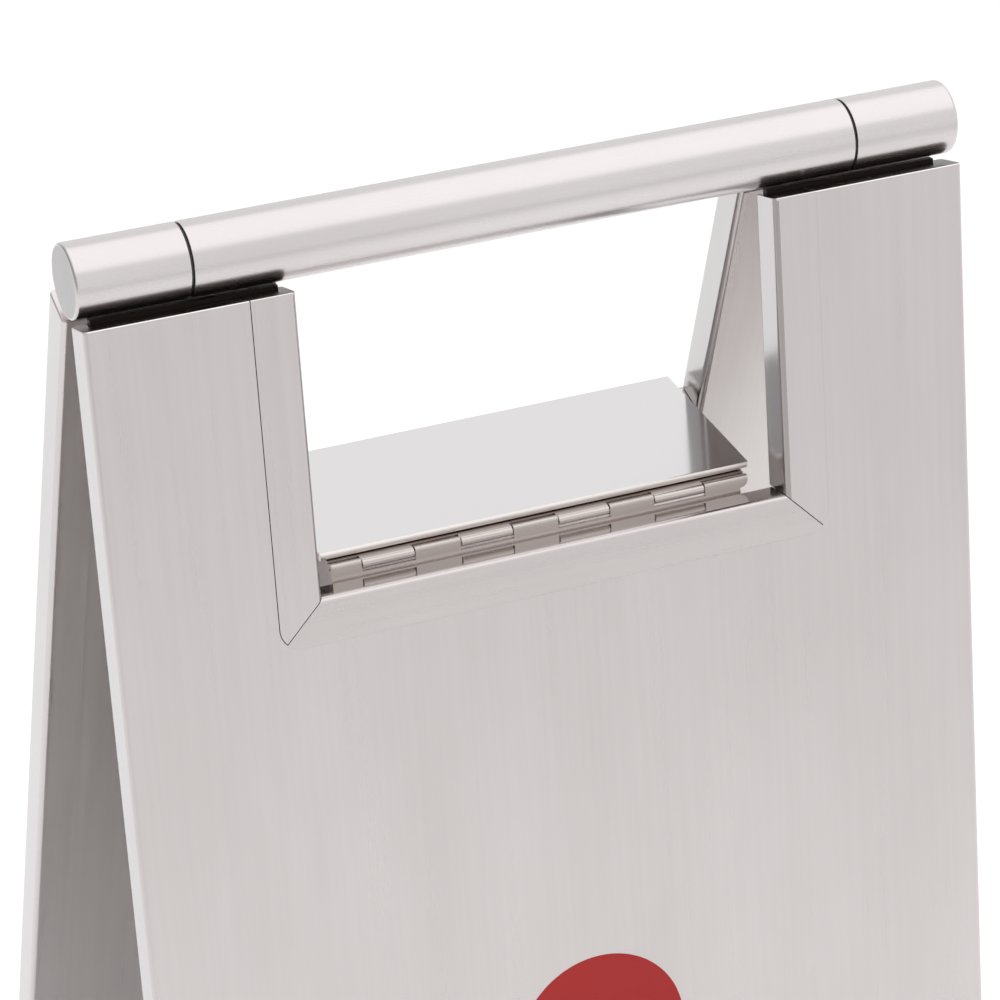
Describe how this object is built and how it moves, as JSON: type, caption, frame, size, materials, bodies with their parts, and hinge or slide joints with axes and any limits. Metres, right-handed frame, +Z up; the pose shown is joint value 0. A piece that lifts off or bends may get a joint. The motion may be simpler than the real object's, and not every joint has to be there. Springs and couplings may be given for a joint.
{
  "type": "sandwich board",
  "caption": "Folding A-frame floor sign of brushed stainless steel: hollow boards hinged on a tubular carry handle, with a hand notch and a hinged spreader plate that hooks over the rear board.",
  "frame": {"origin": "on the floor, midway between the boards and between the tube's ends", "axes": "X along the tube, Y from the front board to the rear board, Z up"},
  "size_m": [0.3224, 0.2836, 0.6031],
  "materials": {
    "brushed_steel": "fine vertical brushing, satin",
    "inner_steel": "dull satin",
    "polished_steel": "bright, nearly mirror",
    "black_plastic": "matte nylon",
    "black_rubber": "matte",
    "red_film": "satin self-adhesive film"
  },
  "bodies": {
    "front_board": {"front_face_sheet": "brushed_steel", "front_inner_sheet": "inner_steel", "front_sill_trim": "brushed_steel", "front_bottom_channel": "inner_steel", "front_round_mark": "red_film", "front_jamb_trim_left": "brushed_steel", "front_jamb_trim_right": "brushed_steel", "front_hanger_tab_left": "inner_steel", "front_hanger_tab_right": "inner_steel", "front_foot_left": "black_rubber", "front_foot_right": "black_rubber", "end_sleeve_left": "brushed_steel", "end_sleeve_right": "brushed_steel", "end_cap_left": "brushed_steel", "end_cap_right": "brushed_steel", "pivot_spindle_left": "polished_steel", "pivot_spindle_right": "polished_steel", "pivot_washer_left": "black_plastic", "pivot_washer_right": "black_plastic", "hinge_fixed_leaf": "polished_steel", "hinge_pin": "polished_steel"},
    "rear_board": {"rear_face_sheet": "brushed_steel", "rear_inner_sheet": "inner_steel", "rear_sill_trim": "brushed_steel", "rear_bottom_channel": "inner_steel", "rear_round_mark": "red_film", "rear_jamb_trim_left": "brushed_steel", "rear_jamb_trim_right": "brushed_steel", "rear_hanger_tab_left": "inner_steel", "rear_hanger_tab_right": "inner_steel", "rear_foot_left": "black_rubber", "rear_foot_right": "black_rubber", "handle_tube": "brushed_steel", "pivot_bush_left": "black_plastic", "pivot_bush_right": "black_plastic"},
    "spreader": {"spreader_plate": "polished_steel", "hinge_moving_leaf": "polished_steel"}
  },
  "joints": [
    {"name": "board_fold", "type": "hinge", "parent": "front_board", "child": "rear_board", "pos_m": [0, 0, 0.59025], "axis": [-1, 0, 0], "range_deg": [0, 24.5]},
    {"name": "spreader_fold", "type": "hinge", "parent": "front_board", "child": "spreader", "pos_m": [0, -0.02532, 0.47459], "axis": [1, 0, 0], "range_deg": [0, 78.45]}
  ],
  "couplings": [
    {"joint": "spreader_fold", "follows": "board_fold", "ratio": 3.2}
  ]
}
